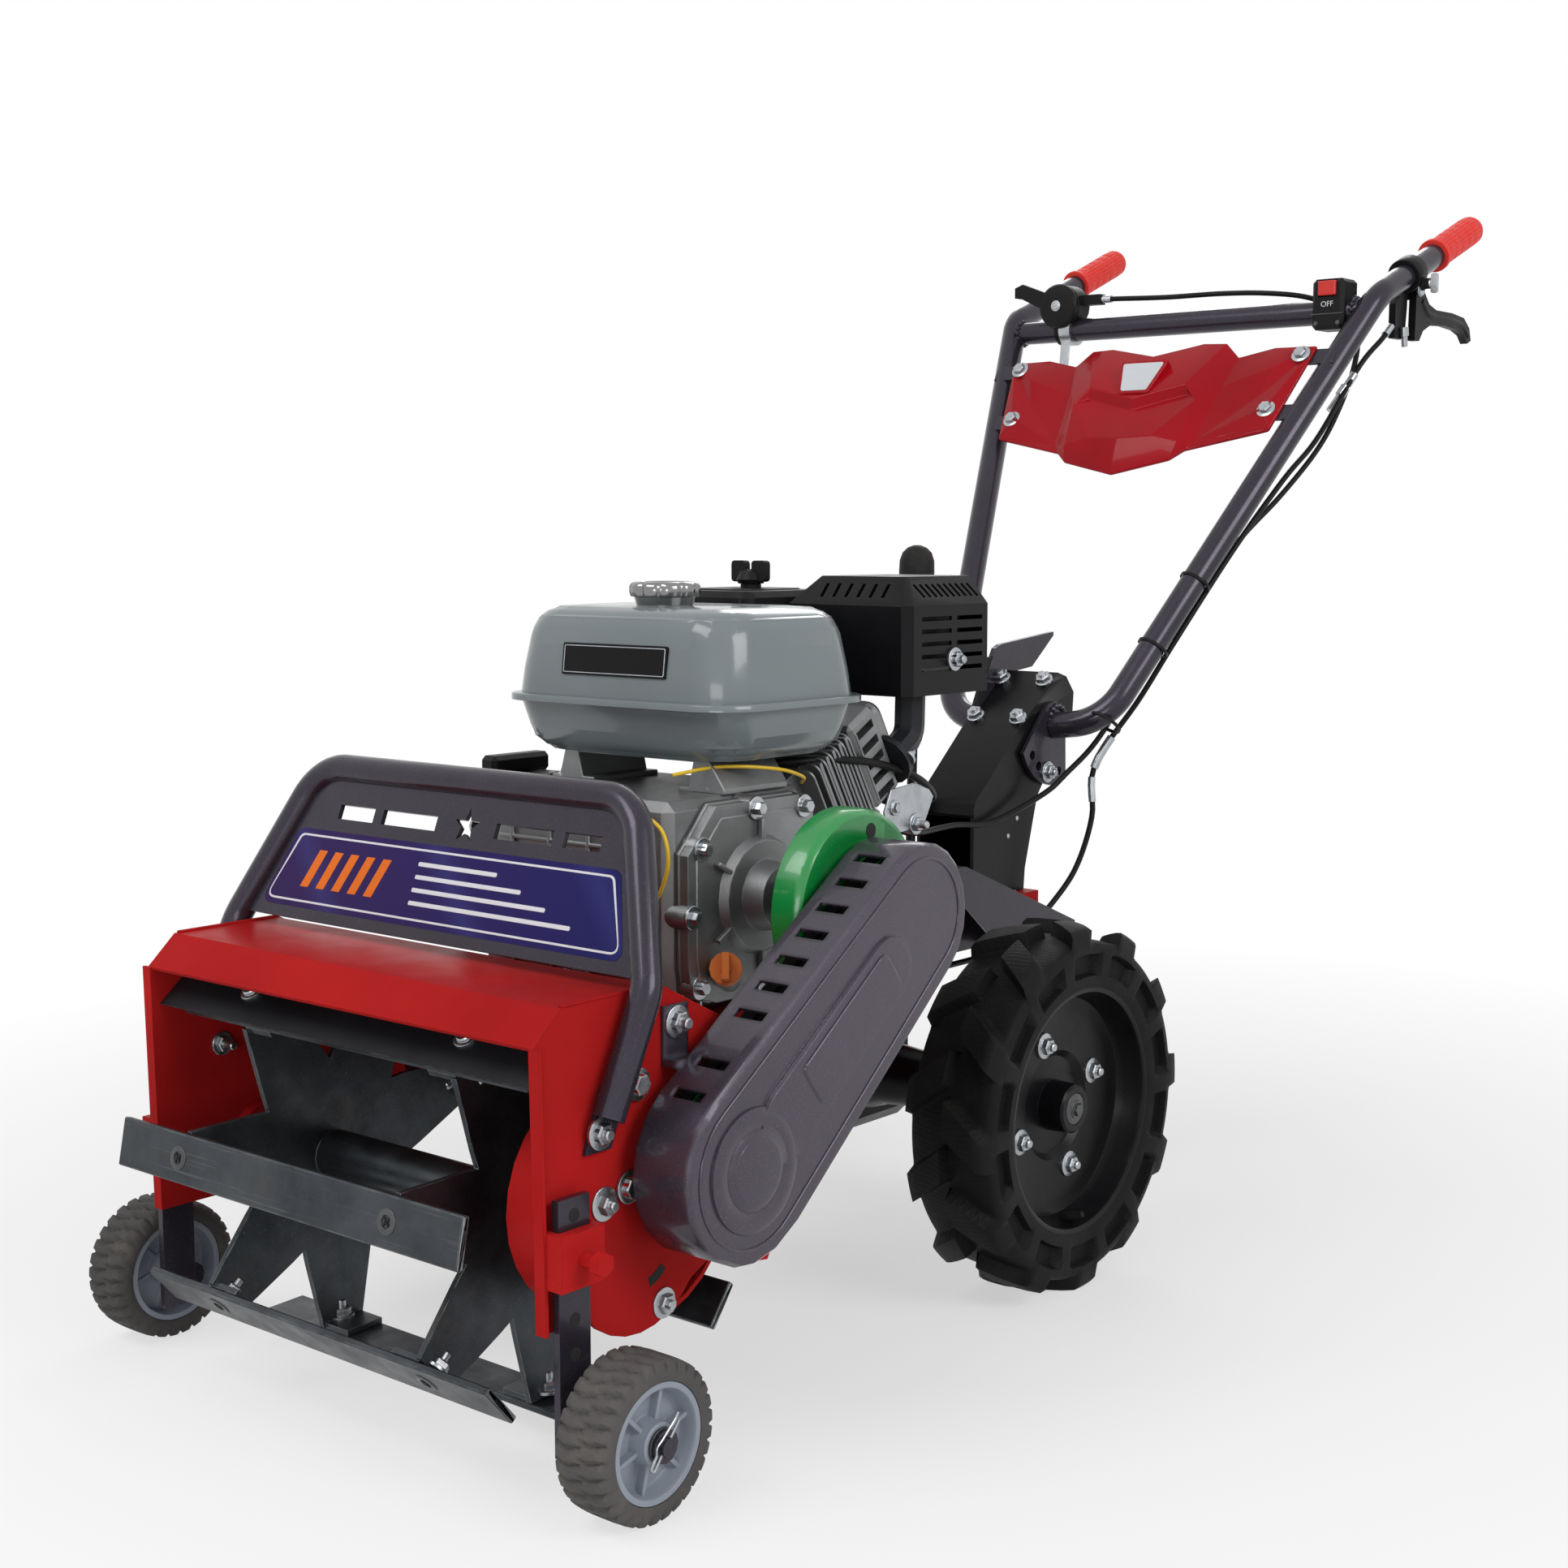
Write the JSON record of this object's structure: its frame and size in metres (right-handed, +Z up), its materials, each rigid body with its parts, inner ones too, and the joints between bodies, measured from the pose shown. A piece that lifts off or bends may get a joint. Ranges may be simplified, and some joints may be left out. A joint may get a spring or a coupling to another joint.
{
  "type": "mini tiller",
  "caption": "Walk-behind mini tiller with a front rotor in a red housing, a belt-driven petrol engine, lugged rear wheels, gauge wheels and a high handlebar.",
  "frame": {"origin": "on the ground, under the middle of the machine's bounding box", "axes": "+X to the machine's left, the belt side; +Y towards the operator behind it; +Z up"},
  "size_m": [0.637, 1.5957, 1.0457],
  "materials": {
    "red_paint": "gloss red powder coat",
    "frame_paint": "metallic purple-grey powder coat",
    "black_paint": "satin black paint",
    "black_steel": "blackened plate",
    "dark_steel": "heat-blued steel with bare cut edges",
    "drum_green": "gloss green paint",
    "cast_aluminium": "as cast",
    "tank_grey": "gloss grey enamel",
    "chrome": "bright plated",
    "black_plastic": "moulded, matt",
    "orange_plastic": "moulded, matt",
    "rim_grey": "moulded, satin",
    "dash_red": "gloss moulding",
    "rubber": "matt",
    "red_rubber": "ribbed, matt",
    "tyre": "lugged tread"
  },
  "bodies": {
    "chassis": {"front_housing": "red_paint", "scraper_plate": "black_steel", "front_guard": "frame_paint", "rotor_chain_case": "red_paint", "rotor_chain": "dark_steel", "belt_cover": "frame_paint", "drive_belt_inner": "rubber", "drive_belt_outer": "rubber", "crankcase": "cast_aluminium", "cylinder_head": "cast_aluminium", "fuel_tank": "tank_grey", "carburettor": "cast_aluminium", "chassis_frame": "red_paint", "frame_wing": "frame_paint", "handle_column": "black_paint", "muffler": "dark_steel", "muffler_guard": "black_paint", "air_cleaner": "black_plastic", "recoil_housing": "black_paint", "gearbox_case": "black_paint"},
    "rotor": {"rotor_spider": "dark_steel", "blade_bar_1": "dark_steel", "blade_bar_2": "dark_steel", "blade_bar_3": "dark_steel", "blade_bar_4": "dark_steel", "blade_bar_5": "dark_steel", "blade_bar_6": "dark_steel", "blade_bar_7": "dark_steel"},
    "counter": {"countershaft": "drum_green"},
    "crank": {"crankshaft": "dark_steel", "drive_pulley": "drum_green"},
    "tensioner": {"tension_arm": "dark_steel"},
    "tank_cap": {"fuel_cap": "chrome"},
    "filler_cap": {"oil_cap": "orange_plastic"},
    "cleaner_knob": {"air_cleaner_knob": "black_plastic"},
    "starter_grip": {"recoil_grip": "black_plastic"},
    "shift_lever": {"gear_lever": "black_plastic"},
    "rear_wheels": {"wheel_axle": "dark_steel", "rear_rim_left": "black_paint", "rear_rim_right": "black_paint", "rear_tyre_left": "tyre", "rear_tyre_right": "tyre"},
    "strut_left": {"front_strut_left": "frame_paint"},
    "strut_right": {"front_strut_right": "frame_paint"},
    "front_wheel_left": {"front_hub_left": "rim_grey", "front_tyre_left": "tyre"},
    "front_wheel_right": {"front_hub_right": "rim_grey", "front_tyre_right": "tyre"},
    "handle": {"handlebar": "frame_paint", "grip_left": "red_rubber", "grip_right": "red_rubber", "dashboard": "dash_red", "lever_clamp": "black_plastic", "throttle_case": "black_plastic", "switch_case": "black_plastic", "clutch_cable": "rubber", "throttle_cable": "rubber"},
    "clutch": {"clutch_lever": "black_plastic"},
    "throttle": {"throttle_lever": "black_plastic"},
    "rocker": {"switch_rocker": "dash_red"}
  },
  "joints": [
    {"name": "rotor_spin", "type": "hinge", "parent": "chassis", "child": "rotor", "pos_m": [0.008, -0.6462, 0.17], "axis": [1, 0, 0], "continuous": true},
    {"name": "countershaft_spin", "type": "hinge", "parent": "chassis", "child": "counter", "pos_m": [0.2315, -0.5982, 0.223], "axis": [1, 0, 0], "continuous": true},
    {"name": "crankshaft_spin", "type": "hinge", "parent": "chassis", "child": "crank", "pos_m": [-0.0185, -0.3942, 0.379], "axis": [1, 0, 0], "continuous": true},
    {"name": "tension_swing", "type": "hinge", "parent": "chassis", "child": "tensioner", "pos_m": [0.2315, -0.5232, 0.262], "axis": [1, 0, 0], "range_deg": [0, 5.2]},
    {"name": "fuel_cap_turn", "type": "hinge", "parent": "chassis", "child": "tank_cap", "pos_m": [0.0115, -0.3782, 0.613], "axis": [0, 0, 1], "range_deg": [0, 90]},
    {"name": "oil_cap_turn", "type": "hinge", "parent": "chassis", "child": "filler_cap", "pos_m": [0.1215, -0.4252, 0.311], "axis": [0.597, -0.6965, 0.398], "range_deg": [0, 540]},
    {"name": "cleaner_knob_turn", "type": "hinge", "parent": "chassis", "child": "cleaner_knob", "pos_m": [-0.0635, -0.1782, 0.622], "axis": [0, 0, 1], "range_deg": [0, 540]},
    {"name": "starter_pull", "type": "slide", "parent": "chassis", "child": "starter_grip", "axis": [0, 0, 1], "range_m": [0, 0.5], "stiffness_N_per_m": 25, "springref_m": -0.1},
    {"name": "gear_shift", "type": "hinge", "parent": "chassis", "child": "shift_lever", "pos_m": [-0.0485, 0.0568, 0.32], "axis": [1, 0, 0], "range_deg": [-9, 9]},
    {"name": "rear_wheel_roll", "type": "hinge", "parent": "chassis", "child": "rear_wheels", "pos_m": [-0.0185, -0.1232, 0.165], "axis": [1, 0, 0], "continuous": true},
    {"name": "strut_left_height", "type": "slide", "parent": "chassis", "child": "strut_left", "axis": [0, 0, 1], "range_m": [-0.02, 0.04]},
    {"name": "strut_right_height", "type": "slide", "parent": "chassis", "child": "strut_right", "axis": [0, 0, 1], "range_m": [-0.02, 0.04]},
    {"name": "front_wheel_left_roll", "type": "hinge", "parent": "strut_left", "child": "front_wheel_left", "pos_m": [0.28575, -0.7082, 0.058], "axis": [1, 0, 0], "continuous": true},
    {"name": "front_wheel_right_roll", "type": "hinge", "parent": "strut_right", "child": "front_wheel_right", "pos_m": [-0.26975, -0.7082, 0.058], "axis": [1, 0, 0], "continuous": true},
    {"name": "handle_tilt", "type": "hinge", "parent": "chassis", "child": "handle", "pos_m": [-0.0185, 0.2168, 0.472], "axis": [1, 0, 0], "range_deg": [-25.5, 40], "deforming": ["clutch_cable", "throttle_cable"]},
    {"name": "clutch_squeeze", "type": "hinge", "parent": "handle", "child": "clutch", "pos_m": [0.2215, 0.6493, 0.949], "axis": [1, 0, 0], "range_deg": [0, 26], "stiffness_Nm_per_rad": 2.5, "springref_deg": -5.73},
    {"name": "throttle_swing", "type": "hinge", "parent": "handle", "child": "throttle", "pos_m": [-0.1755, 0.5388, 0.948], "axis": [0, 1, 0], "range_deg": [-15, 50]},
    {"name": "stop_switch", "type": "hinge", "parent": "handle", "child": "rocker", "pos_m": [0.175, 0.5268, 0.945], "axis": [1, 0, 0], "range_deg": [-8, 8]}
  ],
  "couplings": [
    {"joint": "countershaft_spin", "follows": "rotor_spin", "ratio": 2.1},
    {"joint": "crankshaft_spin", "follows": "rotor_spin", "ratio": 2.77},
    {"joint": "tension_swing", "follows": "clutch_squeeze", "ratio": 0.2}
  ]
}
